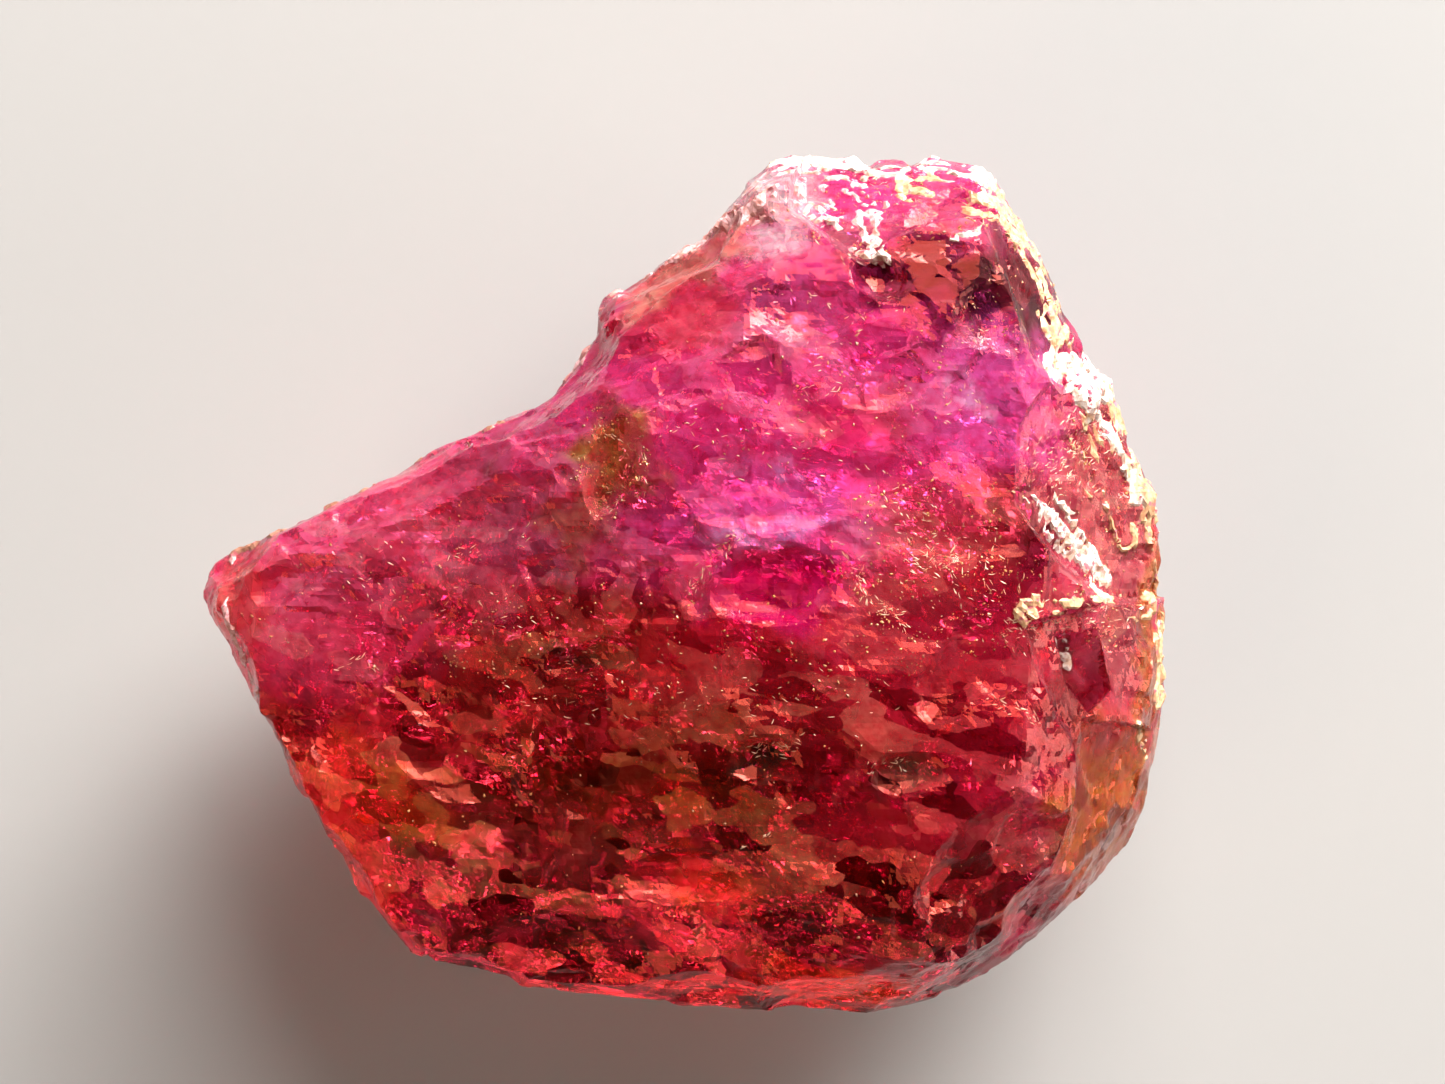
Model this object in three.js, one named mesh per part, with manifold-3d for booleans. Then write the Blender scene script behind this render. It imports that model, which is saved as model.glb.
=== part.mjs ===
// Rough alexandrite crystal: one broken, see-through piece of chrysoberyl that lies on its broad cleavage face.
// X runs from the narrow left tip to the bulging right side, Y from the thick butt to the thin top, and Z up.
// The origin is the middle of the stone's box at the height of the face that it rests on. Millimetres throughout.

import * as THREE from "three";
import { mergeVertices } from "three/addons/utils/BufferGeometryUtils.js";
import Module from "manifold-3d";

const wasm = await Module();
wasm.setup();

// ---- Driving dimensions ------------------------------------------------------------------------------------

const THICKNESS = 6.85; // from the resting face to the highest ridge
const HEART = new THREE.Vector2(0.8, -0.5); // the plan point that every side wall leans towards
const BLANK_TOP = THICKNESS + 1.7; // the uncut blank reaches past both broad sides
const BLANK_BOTTOM = -0.8;
const FAR = 40; // the size of a tool that takes everything on its side
const STEP_BOTTOM = 3.2; // where the inner walls of the steps have the plan given below
const STEP_FLARE = 0.09; // how much those walls draw back for each millimetre above it, as a share of the plan
const JAG_LENGTH = 0.5; // away from the girdle, the walls even out jags that are shorter than this
const FADE = 0.8; // height over which those jags die out

// The stone's outline in plan, counter-clockwise, in the stretches that a hand would name. Each stretch has the
// height of its sharp girdle, and how far its walls lean in for each millimetre above and below that girdle.
const STRETCHES = [
  {
    name: "lower left edge",
    corners: [[-7.94, -0.5], [-7.69, -1.08], [-7.38, -1.63], [-6.67, -2.75], [-6.49, -3.22], [-5.97, -4.2],
      [-5.39, -5.2], [-4.67, -6.0]],
    girdle: 4.3,
    leanAbove: 0.1,
    leanBelow: 0.34,
  },
  {
    name: "butt",
    corners: [[-4.17, -6.37], [-2.92, -6.72], [-1.26, -6.9], [-0.01, -7.0], [1.66, -7.12], [2.91, -7.17],
      [3.74, -7.05]],
    girdle: 4.5,
    leanAbove: 0.3,
    leanBelow: 0.34,
  },
  {
    name: "lower right",
    corners: [[4.58, -6.75], [5.39, -6.32], [5.88, -5.9], [6.39, -5.45]],
    girdle: 3.9,
    leanAbove: 0.3,
    leanBelow: 0.45,
  },
  {
    name: "thin lip",
    corners: [[6.78, -5.12], [7.12, -4.78], [7.41, -4.38], [7.64, -3.92], [7.84, -2.97]],
    girdle: 2.9,
    leanAbove: 0.3,
    leanBelow: 0.7,
  },
  {
    name: "right bulge",
    corners: [[7.95, -2.26], [8.01, -1.43], [8.02, -0.6], [7.98, 0.5], [7.83, 1.4], [7.42, 2.22],
      [7.27, 2.6], [7.12, 3.12]],
    girdle: 3.3,
    leanAbove: 0.24,
    leanBelow: 0.45,
  },
  {
    name: "upper right",
    corners: [[7.08, 3.36], [6.83, 3.53], [6.66, 3.8], [6.67, 3.97], [6.3, 4.52], [6.22, 4.77],
      [6.11, 5.24], [5.63, 5.93], [5.37, 6.33]],
    girdle: 3.0,
    leanAbove: 0.2,
    leanBelow: 0.5,
  },
  {
    name: "crumbled top",
    corners: [[5.16, 6.73], [4.99, 6.92], [4.58, 7.0], [4.11, 7.1], [3.76, 6.96], [3.62, 7.02],
      [3.24, 7.0], [3.03, 6.87], [2.83, 7.07], [2.39, 7.02], [2.18, 7.04]],
    girdle: 2.9,
    leanAbove: 0.2,
    leanBelow: 0.8,
  },
  {
    name: "upper left step",
    corners: [[1.76, 7.16], [1.39, 7.03], [1.06, 6.7], [0.84, 6.42], [0.51, 5.91], [0.21, 5.65],
      [-0.06, 5.57], [-0.42, 5.36], [-0.82, 4.95]],
    girdle: 3.3,
    leanAbove: 0.16,
    leanBelow: 0.6,
  },
  {
    name: "notch",
    corners: [[-1.02, 4.8], [-1.18, 4.83], [-1.34, 4.72], [-1.48, 4.47], [-1.51, 4.02], [-1.68, 3.85],
      [-1.91, 3.47], [-2.24, 3.02]],
    girdle: 3.5,
    leanAbove: 0.12,
    leanBelow: 0.45,
  },
  {
    name: "upper left edge",
    corners: [[-2.51, 2.87], [-3.23, 2.58], [-4.01, 2.25], [-4.67, 1.87], [-5.08, 1.62], [-5.92, 1.25],
      [-6.21, 1.02], [-6.56, 0.9], [-7.08, 0.72]],
    girdle: 3.9,
    leanAbove: 0.05,
    leanBelow: 0.4,
  },
  {
    name: "left tip",
    corners: [[-7.58, 0.47], [-7.86, 0.27], [-7.97, 0.08], [-8.03, -0.3]],
    girdle: 3.6,
    leanAbove: 0.2,
    leanBelow: 0.7,
  },
];

// The broad faces that a blow or the crystal's own growth left flat. Each is a plane through a point, with its
// rise for each millimetre along X and along Y. The upper ones cut away what is above them.
const UPPER_FACES = [
  { name: "main face", at: [1.5, -1.5, 6.75], riseX: -0.03, riseY: -0.07 },
  { name: "left wing", at: [-0.6, 2.0, 6.5], riseX: 0.17, riseY: 0.05 },
  { name: "upper block", at: [2.0, 4.1, 6.3], riseX: 0.02, riseY: -0.5 },
  { name: "upper left bevel", at: [0.6, 4.6, 6.0], riseX: 0.42, riseY: -0.55 },
  { name: "upper right bevel", at: [5.6, 3.6, 5.9], riseX: -0.75, riseY: -0.35 },
  { name: "right shoulder", at: [6.2, -1.2, 6.2], riseX: -0.75, riseY: 0.02 },
  { name: "lower right roll", at: [4.9, -4.8, 6.4], riseX: -0.55, riseY: 0.5 },
  { name: "butt roll", at: [1.0, -5.4, 6.75], riseX: -0.02, riseY: 0.5 },
  { name: "butt edge", at: [1.0, -6.4, 6.1], riseX: -0.05, riseY: 1.3 },
  { name: "butt roll, left", at: [-3.4, -4.6, 6.0], riseX: 0.16, riseY: 0.45 },
  { name: "tip bevel", at: [-7.2, 0.0, 5.15], riseX: 0.6, riseY: -0.05 },
];

// The lower ones cut away what is below them, around the flat face at Z 0 that the stone rests on.
const LOWER_FACES = [
  { name: "under the tip", at: [-2.3, -0.4, 0], riseX: -0.4, riseY: -0.05 },
  { name: "under the upper left edge", at: [-1.4, 1.6, 0], riseX: -0.16, riseY: 0.42 },
  { name: "under the top", at: [1.6, 2.3, 0], riseX: 0.04, riseY: 0.42 },
  { name: "under the upper right", at: [3.3, 1.9, 0], riseX: 0.3, riseY: 0.28 },
  { name: "under the right bulge", at: [3.9, -0.8, 0], riseX: 0.42, riseY: 0.04 },
  { name: "under the lip", at: [3.4, -2.9, 0], riseX: 0.36, riseY: -0.22 },
  { name: "under the butt", at: [0.6, -3.4, 0], riseX: 0.03, riseY: -0.4 },
  { name: "under the lower left edge", at: [-2.0, -2.6, 0], riseX: -0.34, riseY: -0.3 },
];

// Steps where the edge broke off in layers: a plan outline, counter-clockwise, and the sloping floor that is
// left inside it.
const STEPS = [
  {
    name: "deep break in the right side",
    plan: [[5.73, 1.38], [6.1, 0.85], [6.96, -0.12], [9, -0.4], [9, 4.4], [6.7, 3.7], [6.28, 3.17],
      [5.74, 2.33]],
    at: [6.1, 1.6, 5.1],
    riseX: -0.95,
    riseY: 0.1,
  },
  {
    name: "shelf under the deep break",
    plan: [[6.6, 1.1], [7.3, 0.1], [9, 0.0], [9, 4.0], [7.0, 3.2], [6.65, 2.3]],
    at: [6.9, 1.6, 4.05],
    riseX: -0.7,
    riseY: -0.12,
  },
  {
    name: "flaky ledge",
    plan: [[6.3, -1.9], [6.75, -2.75], [9, -2.9], [9, 0.4], [7.2, 0.0], [6.85, -0.55], [5.95, -0.85]],
    at: [6.4, -1.4, 5.5],
    riseX: -0.95,
    riseY: -0.12,
  },
  {
    name: "hollow in the flaky ledge",
    plan: [[6.3, -1.6], [6.6, -2.1], [6.95, -1.75], [6.75, -0.9], [6.15, -1.0]],
    at: [6.5, -1.4, 4.9],
    riseX: -0.35,
    riseY: 0.35,
  },
  {
    name: "smooth thin lip",
    plan: [[6.5, -4.0], [6.1, -5.0], [5.6, -6.4], [9, -6.5], [9, -2.5], [6.6, -2.65]],
    at: [6.7, -3.8, 4.7],
    riseX: -1.35,
    riseY: 0.25,
  },
  {
    name: "narrow shelf along the upper right side",
    plan: [[5.1, 6.1], [5.55, 4.9], [5.85, 3.95], [6.28, 3.4], [9, 4.2], [9, 7], [5.4, 7.5]],
    at: [5.8, 4.9, 4.3],
    riseX: -1.3,
    riseY: -0.3,
  },
  {
    name: "shelf behind the crumbled top",
    plan: [[2.0, 6.15], [3.1, 5.4], [3.4, 5.75], [4.2, 6.05], [5.0, 6.1], [5.8, 8], [2.0, 8]],
    at: [3.6, 6.1, 4.3],
    riseX: 0.06,
    riseY: -0.85,
  },
  {
    name: "pale bevel along the upper left step",
    plan: [[-1.05, 4.1], [-0.3, 4.85], [0.4, 5.35], [0.75, 5.9], [0.2, 6.9], [-2.4, 5.2]],
    at: [-0.1, 5.0, 5.0],
    riseX: 0.6,
    riseY: -0.9,
  },
  {
    name: "small facet behind the notch",
    plan: [[-2.6, 2.5], [-1.35, 2.75], [-1.2, 3.7], [-1.3, 5.1], [-3.2, 3.6]],
    at: [-1.4, 3.0, 6.0],
    riseX: 0.5,
    riseY: -0.45,
  },
];

// Shell-shaped scars in the upper side. size is the half length, half width and depth, and turn is how far the
// long way is turned from X, in degrees.
const SCARS = [
  { name: "eye-shaped scar", at: [1.45, -0.1], size: [1.35, 0.72, 0.36], turn: 6 },
  { name: "broad dish above it", at: [2.6, 1.9], size: [2.3, 1.1, 0.26], turn: 16 },
  { name: "dish in the upper block", at: [2.1, 4.3], size: [1.15, 0.7, 0.26], turn: -12 },
  { name: "crescent dish", at: [0.2, 3.9], size: [0.85, 0.6, 0.2], turn: 28 },
  { name: "dark hollow at the upper right", at: [5.0, 4.35], size: [0.8, 0.72, 0.45], turn: 30 },
  { name: "dark hollow beside it", at: [3.2, 4.95], size: [0.55, 0.4, 0.3], turn: -30 },
  { name: "stained hollow in the left wing", at: [-1.2, 1.95], size: [1.1, 0.42, 0.34], turn: 74 },
  { name: "dark cleft", at: [-1.55, -1.3], size: [0.95, 0.3, 0.26], turn: 14 },
  { name: "shell break by the left edge", at: [-5.55, -2.2], size: [0.95, 0.7, 0.34], turn: 62 },
  { name: "ripple round the shell break", at: [-5.1, -1.7], size: [1.7, 1.2, 0.2], turn: 62 },
  { name: "dish in the left wing", at: [-3.6, 0.9], size: [1.7, 0.7, 0.22], turn: 24 },
  { name: "dish by the tip", at: [-6.5, 0.05], size: [0.85, 0.42, 0.24], turn: 22 },
  { name: "hollow below the middle", at: [1.35, -2.95], size: [0.66, 0.42, 0.2], turn: -8 },
  { name: "black hollow", at: [3.55, -3.15], size: [0.8, 0.4, 0.24], turn: 10 },
  { name: "dish in the lower left", at: [-3.4, -3.2], size: [1.5, 0.66, 0.26], turn: -28 },
  { name: "dish in the lower right", at: [4.7, -1.4], size: [1.3, 0.7, 0.24], turn: 40 },
  { name: "flake above the butt", at: [0.2, -4.9], size: [1.3, 0.5, 0.3], turn: -4 },
  { name: "flake at the lower right", at: [4.4, -4.9], size: [0.95, 0.55, 0.28], turn: 35 },
];

// Shell-shaped scars in the underside.
const UNDER_SCARS = [
  { at: [-5.2, -1.6], size: [1.3, 0.8, 0.5], turn: 40 },
  { at: [-4.6, 0.9], size: [1.2, 0.6, 0.4], turn: 20 },
  { at: [0.2, 4.9], size: [1.2, 0.8, 0.45], turn: 50 },
  { at: [3.4, 5.4], size: [1.3, 0.7, 0.4], turn: -10 },
  { at: [6.2, 1.6], size: [1.2, 0.9, 0.45], turn: 85 },
  { at: [6.5, -2.4], size: [1.1, 0.8, 0.4], turn: 78 },
  { at: [4.2, -5.6], size: [1.2, 0.7, 0.45], turn: 24 },
  { at: [0.4, -6.1], size: [1.5, 0.6, 0.45], turn: 2 },
  { at: [-3.4, -5.2], size: [1.2, 0.7, 0.4], turn: -35 },
];

// The lesser breaks that overlap all over the stone. Bowls are shell-shaped and slabs are flat and tipped.
const UPPER_BOWLS = { count: 22, reach: [0.9, 2.0], depth: [0.1, 0.26] };
const UNDER_BOWLS = { count: 18, reach: [0.9, 2.0], depth: [0.14, 0.36] };
const UNDER_SLABS = { count: 12, reach: [1.0, 2.2], depth: [0.04, 0.14], tip: [0.08, 0.2] };
const WALL_BOWLS = { count: 29, reach: [0.9, 1.9], depth: [0.12, 0.32] };
const UPPER_SLABS = { count: 20, reach: [0.8, 2.0], depth: [0.02, 0.1], tip: [0.06, 0.16] };
const WALL_SLABS = { count: 16, reach: [0.7, 1.4], depth: [0.05, 0.15], tip: [0.1, 0.25] };
const RIM_CHIPS = { count: 32, radius: [0.2, 0.6] }; // bites out of the sharp upper rim
const GIRDLE_CHIPS = { count: 16, radius: [0.12, 0.32] };
const PITS = { count: 10, radius: [0.1, 0.24] };
const FLAT_KEPT = 1.9; // the resting face keeps this radius round the heart unbroken
const SEED = 11;

// ---- Helpers -----------------------------------------------------------------------------------------------

const UP = new THREE.Vector3(0, 0, 1);

// A repeatable stream of numbers from 0 to 1.
function randomFrom(seed) {
  let state = seed >>> 0;
  return () => {
    state = (state + 0x6d2b79f5) >>> 0;
    let t = Math.imul(state ^ (state >>> 15), 1 | state);
    t = (t + Math.imul(t ^ (t >>> 7), 61 | t)) ^ t;
    return ((t ^ (t >>> 14)) >>> 0) / 4294967296;
  };
}

const random = randomFrom(SEED);
const between = (low, high) => low + (high - low) * random();
const cyclic = (list, i) => list[(i + list.length) % list.length];
const facing = (normal) => new THREE.Quaternion().setFromUnitVectors(UP, normal);

function solidFrom(geometry) {
  const bare = geometry.clone();
  bare.deleteAttribute("normal");
  bare.deleteAttribute("uv");
  const merged = mergeVertices(bare, 1e-5);
  return new wasm.Manifold(
    new wasm.Mesh({
      numProp: 3,
      vertProperties: new Float32Array(merged.attributes.position.array),
      triVerts: new Uint32Array(merged.index.array),
    }),
  );
}

function geometryFrom(solid) {
  const mesh = solid.getMesh();
  const geometry = new THREE.BufferGeometry();
  geometry.setAttribute("position", new THREE.BufferAttribute(new Float32Array(mesh.vertProperties), 3));
  geometry.setIndex(new THREE.BufferAttribute(new Uint32Array(mesh.triVerts), 1));
  geometry.computeVertexNormals();
  return geometry;
}

// A closed skin over a stack of rings, lowest first, that all run counter-clockwise through as many points.
function skin(rings) {
  const count = rings[0].length;
  const index = [];
  for (let ring = 0; ring < rings.length - 1; ring++) {
    for (let i = 0; i < count; i++) {
      const a = ring * count + i;
      const b = ring * count + ((i + 1) % count);
      index.push(a, b, a + count, b, b + count, a + count);
    }
  }
  const cap = (ring) => THREE.ShapeUtils.triangulateShape(ring.map(([x, y]) => new THREE.Vector2(x, y)), []);
  for (const [a, b, c] of cap(rings[0])) index.push(a, c, b);
  const last = (rings.length - 1) * count;
  for (const [a, b, c] of cap(rings[rings.length - 1])) index.push(last + a, last + b, last + c);
  const geometry = new THREE.BufferGeometry();
  geometry.setAttribute("position", new THREE.Float32BufferAttribute(rings.flat(2), 3));
  geometry.setIndex(index);
  return geometry;
}

const heightOn = (face, x, y) => face.at[2] + face.riseX * (x - face.at[0]) + face.riseY * (y - face.at[1]);

// The height of the uncut upper side at a plan point, and of the uncut underside.
const upperHeight = (x, y) => Math.min(...UPPER_FACES.map((face) => heightOn(face, x, y)));
const lowerHeight = (x, y) => Math.max(0, ...LOWER_FACES.map((face) => heightOn(face, x, y)));

// The outward direction of such a side at a plan point. side is 1 for the upper one and -1 for the underside.
function normalAt(heightAt, x, y, side) {
  const reach = 0.25;
  const riseX = (heightAt(x + reach, y) - heightAt(x - reach, y)) / (2 * reach);
  const riseY = (heightAt(x, y + reach) - heightAt(x, y - reach)) / (2 * reach);
  return new THREE.Vector3(-riseX, -riseY, 1).normalize().multiplyScalar(side);
}

// ---- Tools that cut ------------------------------------------------------------------------------------------

// A large block that fills everything above a sloping plane, or below it if side is -1.
function blockBeyond(face, side) {
  const normal = new THREE.Vector3(-face.riseX, -face.riseY, 1).normalize().multiplyScalar(side);
  const geometry = new THREE.BoxGeometry(FAR, FAR, FAR);
  geometry.translate(0, 0, FAR / 2);
  geometry.applyQuaternion(facing(normal));
  geometry.translate(...face.at);
  return solidFrom(geometry);
}

// A column over a plan outline. It widens upwards from the middle of the plan, by a share for each millimetre.
function column(plan, bottom, top, flare) {
  const middle = plan.reduce((sum, [x, y]) => sum.add(new THREE.Vector2(x, y)), new THREE.Vector2());
  middle.divideScalar(plan.length);
  const ring = (z) => {
    const grown = 1 + flare * (z - bottom);
    return plan.map(([x, y]) => [middle.x + (x - middle.x) * grown, middle.y + (y - middle.y) * grown, z]);
  };
  return solidFrom(skin([ring(bottom), ring(top)]));
}

// A shallow bowl leaves a shell-shaped scar. It is deepest nearer one end, as such breaks are.
function shellTool({ at, normal, size, turn, segments }) {
  const [halfLength, halfWidth, depth] = size;
  const shares = [0.3, 0.66, 1.0, 1.5]; // of the scar's half size, from the deepest point outwards
  const reaches = Array.from({ length: segments }, () => between(0.86, 1.14));
  const deepest = -0.22 * halfLength;
  const rings = shares.map((share) =>
    Array.from({ length: segments }, (_, i) => {
      const angle = (2 * Math.PI * i) / segments;
      const x = share * reaches[i] * halfLength * Math.cos(angle) + deepest * Math.max(1 - share, 0);
      return [x, share * reaches[i] * halfWidth * Math.sin(angle), depth * (share * share - 1)];
    }),
  );
  const geometry = skin(rings);
  geometry.rotateZ(THREE.MathUtils.degToRad(turn));
  geometry.applyQuaternion(facing(normal));
  geometry.translate(...at);
  return solidFrom(geometry);
}

// A tipped, many-sided slab leaves a flat break that is stepped at one end and runs out at the other.
function slabTool({ at, normal, reach, depth, tip }) {
  const sides = 5 + Math.floor(between(0, 4));
  const places = Array.from({ length: sides }, (_, i) => [
    (2 * Math.PI * (i + between(-0.35, 0.35))) / sides,
    reach * between(0.7, 1.15),
  ]);
  const narrow = between(0.5, 1);
  const ring = (grown, z) =>
    places.map(([angle, out]) => [(out + grown) * Math.cos(angle), (narrow * out + grown) * Math.sin(angle), z]);
  const geometry = skin([ring(0, 0), ring(1.3, 1.0)]);
  geometry.rotateY(tip);
  geometry.translate(0, 0, -depth);
  geometry.rotateZ(between(0, 2 * Math.PI));
  geometry.applyQuaternion(facing(normal));
  geometry.translate(...at);
  return solidFrom(geometry);
}

// A small angular lump leaves a chip or a pit. depth is how far it reaches in.
function chipTool({ at, normal, radius, depth }) {
  const geometry = new THREE.IcosahedronGeometry(radius, 0);
  geometry.rotateX(between(0, 3));
  geometry.rotateY(between(0, 3));
  geometry.scale(between(0.7, 1.8), between(0.7, 1.2), 1);
  geometry.rotateZ(between(0, 3));
  geometry.applyQuaternion(facing(normal));
  const middle = normal.clone().multiplyScalar(radius - depth);
  geometry.translate(at[0] + middle.x, at[1] + middle.y, at[2] + middle.z);
  return solidFrom(geometry);
}

// ---- The blank: a jagged girdle with walls that even out and lean in above and below it -----------------------

const rim = STRETCHES.flatMap(({ corners, girdle, leanAbove, leanBelow }) =>
  corners.map(([x, y]) => ({ plan: new THREE.Vector2(x, y), girdle, leanAbove, leanBelow })),
);

// Neighbouring stretches run into each other over a few corners instead of in one jump.
function eased(points, rounds) {
  if (rounds === 0) return points;
  const mean = (key, i) => (cyclic(points, i - 1)[key] + 2 * points[i][key] + cyclic(points, i + 1)[key]) / 4;
  const next = points.map((point, i) => ({
    ...point,
    girdle: mean("girdle", i),
    leanAbove: mean("leanAbove", i),
    leanBelow: mean("leanBelow", i),
  }));
  return eased(next, rounds - 1);
}

// Each corner also gets the way in across the rim, the way to the heart, and how far a smoothed rim lies inside.
function surveyed(points) {
  return points.map((point, i) => {
    const chord = cyclic(points, i + 3).plan.clone().sub(cyclic(points, i - 3).plan);
    const inward = new THREE.Vector2(-chord.y, chord.x).normalize();
    const evenRim = new THREE.Vector2();
    let total = 0;
    for (const other of points) {
      const weight = Math.exp(-other.plan.distanceToSquared(point.plan) / (2 * JAG_LENGTH * JAG_LENGTH));
      evenRim.addScaledVector(other.plan, weight);
      total += weight;
    }
    evenRim.divideScalar(total);
    const toHeart = HEART.clone().sub(point.plan);
    const room = toHeart.length();
    toHeart.normalize();
    return { ...point, inward, toHeart, room, evened: evenRim.sub(point.plan).dot(inward) };
  });
}

const corners = surveyed(eased(rim, 3));

const cornerStarts = corners.reduce(
  (starts, corner, i) => [...starts, starts[i] + corner.plan.distanceTo(cyclic(corners, i + 1).plan)],
  [0],
);
const rimLength = cornerStarts[corners.length];

// The same facts at any place round the rim. share runs from 0 to 1.
function rimAt(share) {
  const along = (share % 1) * rimLength;
  const i = cornerStarts.findIndex((start) => start > along) - 1;
  const a = corners[i];
  const b = cyclic(corners, i + 1);
  const blend = (along - cornerStarts[i]) / (cornerStarts[i + 1] - cornerStarts[i]);
  const mixed = (key) => a[key] + (b[key] - a[key]) * blend;
  const plan = a.plan.clone().lerp(b.plan, blend);
  const toHeart = HEART.clone().sub(plan);
  return {
    plan,
    girdle: mixed("girdle"),
    leanAbove: mixed("leanAbove"),
    leanBelow: mixed("leanBelow"),
    evened: mixed("evened"),
    inward: a.inward.clone().lerp(b.inward, blend).normalize(),
    room: toHeart.length(),
    toHeart: toHeart.normalize(),
  };
}

// The wall's plan point at a height, over one corner.
function wallPoint(corner, z) {
  const rise = z - corner.girdle;
  const lean = rise > 0 ? corner.leanAbove : corner.leanBelow;
  const evening = Math.min(Math.abs(rise) / FADE, 1) * corner.evened;
  const distance = Math.max(lean * Math.abs(rise) + evening, 0);
  const along = Math.min(distance / Math.max(corner.toHeart.dot(corner.inward), 0.45), corner.room * 0.8);
  const plan = corner.plan.clone().addScaledVector(corner.toHeart, along);
  return [plan.x, plan.y, z];
}

// The wall's outward direction on one side of the girdle.
function wallNormal(corner, side) {
  const lean = side > 0 ? corner.leanAbove : corner.leanBelow;
  return new THREE.Vector3(-corner.inward.x, -corner.inward.y, side * lean).normalize();
}

function blank() {
  const ring = (heightOf) => corners.map((corner) => wallPoint(corner, heightOf(corner)));
  return solidFrom(
    skin([
      ring(() => BLANK_BOTTOM),
      ring((corner) => corner.girdle - FADE),
      ring((corner) => corner.girdle),
      ring((corner) => corner.girdle + FADE),
      ring(() => BLANK_TOP),
    ]),
  );
}

// ---- The cuts ----------------------------------------------------------------------------------------------

function cutBroadFaces(solid) {
  let cut = solid;
  for (const face of UPPER_FACES) cut = cut.subtract(blockBeyond(face, 1));
  for (const face of LOWER_FACES) cut = cut.subtract(blockBeyond(face, -1));
  return cut.subtract(blockBeyond({ at: [0, 0, 0], riseX: 0, riseY: 0 }, -1));
}

function cutSteps(solid) {
  let cut = solid;
  for (const step of STEPS) {
    cut = cut.subtract(column(step.plan, STEP_BOTTOM, BLANK_TOP, STEP_FLARE).intersect(blockBeyond(step, 1)));
  }
  return cut;
}

function cutScars(solid) {
  let cut = solid;
  for (const { at: [x, y], size, turn } of SCARS) {
    const at = [x, y, upperHeight(x, y)];
    cut = cut.subtract(shellTool({ at, normal: normalAt(upperHeight, x, y, 1), size, turn, segments: 10 }));
  }
  for (const { at: [x, y], size, turn } of UNDER_SCARS) {
    const at = [x, y, lowerHeight(x, y)];
    cut = cut.subtract(shellTool({ at, normal: normalAt(lowerHeight, x, y, -1), size, turn, segments: 9 }));
  }
  return cut;
}

// A random place on the upper side or the underside, well inside the walls.
function placeOnSide(heightAt) {
  const corner = rimAt(between(0, 1));
  const share = Math.sqrt(between(0.03, 0.9));
  const x = HEART.x + (corner.plan.x - HEART.x) * share;
  const y = HEART.y + (corner.plan.y - HEART.y) * share;
  return [x, y, heightAt(x, y)];
}

// A random place on the wall, on one side of the girdle and clear of it.
function placeOnWall(corner, side) {
  const [x, y] = wallPoint(corner, side > 0 ? 6 : 1);
  const end = side > 0 ? upperHeight(x, y) : lowerHeight(x, y);
  const clear = corner.girdle + side * 1.1;
  return wallPoint(corner, clear + (end - clear) * between(0.1, 0.9));
}

function bowlOf(kind, at, normal) {
  const reach = between(...kind.reach);
  const size = [reach, reach * between(0.55, 0.95), between(...kind.depth)];
  return shellTool({ at, normal, size, turn: between(0, 360), segments: 7 });
}

function slabOf(kind, at, normal) {
  return slabTool({
    at,
    normal,
    reach: between(...kind.reach),
    depth: between(...kind.depth),
    tip: between(...kind.tip),
  });
}

// Lesser breaks of one kind, spread over the upper side (side 1) or the underside (side -1).
function cutBroken(solid, kind, toolOf, side) {
  const heightAt = side > 0 ? upperHeight : lowerHeight;
  let cut = solid;
  for (let i = 0; i < kind.count; i++) {
    const at = placeOnSide(heightAt);
    const tool = toolOf(kind, at, normalAt(heightAt, at[0], at[1], side));
    const clear = HEART.distanceTo(new THREE.Vector2(at[0], at[1])) > FLAT_KEPT + kind.reach[1];
    if (side > 0 || clear) cut = cut.subtract(tool);
  }
  return cut;
}

// Lesser breaks of one kind, spread round the walls above and below the girdle in turn.
function cutBrokenWalls(solid, kind, toolOf) {
  let cut = solid;
  for (let i = 0; i < kind.count; i++) {
    const corner = rimAt((i + between(0, 1)) / kind.count);
    const side = i % 2 === 0 ? 1 : -1;
    cut = cut.subtract(toolOf(kind, placeOnWall(corner, side), wallNormal(corner, side)));
  }
  return cut;
}

// Where the wall over one corner meets the broad faces of the upper side.
function upperRimPoint(corner) {
  let at = wallPoint(corner, THICKNESS);
  for (let round = 0; round < 4; round++) at = wallPoint(corner, Math.max(upperHeight(at[0], at[1]), corner.girdle));
  return at;
}

function cutChips(solid) {
  let cut = solid;
  for (let i = 0; i < RIM_CHIPS.count; i++) {
    const corner = rimAt((i + between(0, 1)) / RIM_CHIPS.count);
    const normal = new THREE.Vector3(-corner.inward.x, -corner.inward.y, 1).normalize();
    const radius = between(...RIM_CHIPS.radius);
    cut = cut.subtract(chipTool({ at: upperRimPoint(corner), normal, radius, depth: radius * between(0.3, 0.6) }));
  }
  for (let i = 0; i < GIRDLE_CHIPS.count; i++) {
    const corner = rimAt((i + between(0, 1)) / GIRDLE_CHIPS.count);
    const normal = new THREE.Vector3(-corner.inward.x, -corner.inward.y, 0);
    const radius = between(...GIRDLE_CHIPS.radius);
    const at = [corner.plan.x, corner.plan.y, corner.girdle + between(-0.3, 0.3)];
    cut = cut.subtract(chipTool({ at, normal, radius, depth: radius * between(0.2, 0.35) }));
  }
  for (let i = 0; i < PITS.count; i++) {
    const at = placeOnSide(upperHeight);
    const radius = between(...PITS.radius);
    const normal = normalAt(upperHeight, at[0], at[1], 1);
    cut = cut.subtract(chipTool({ at, normal, radius, depth: radius * between(0.5, 0.9) }));
  }
  return cut;
}

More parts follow.
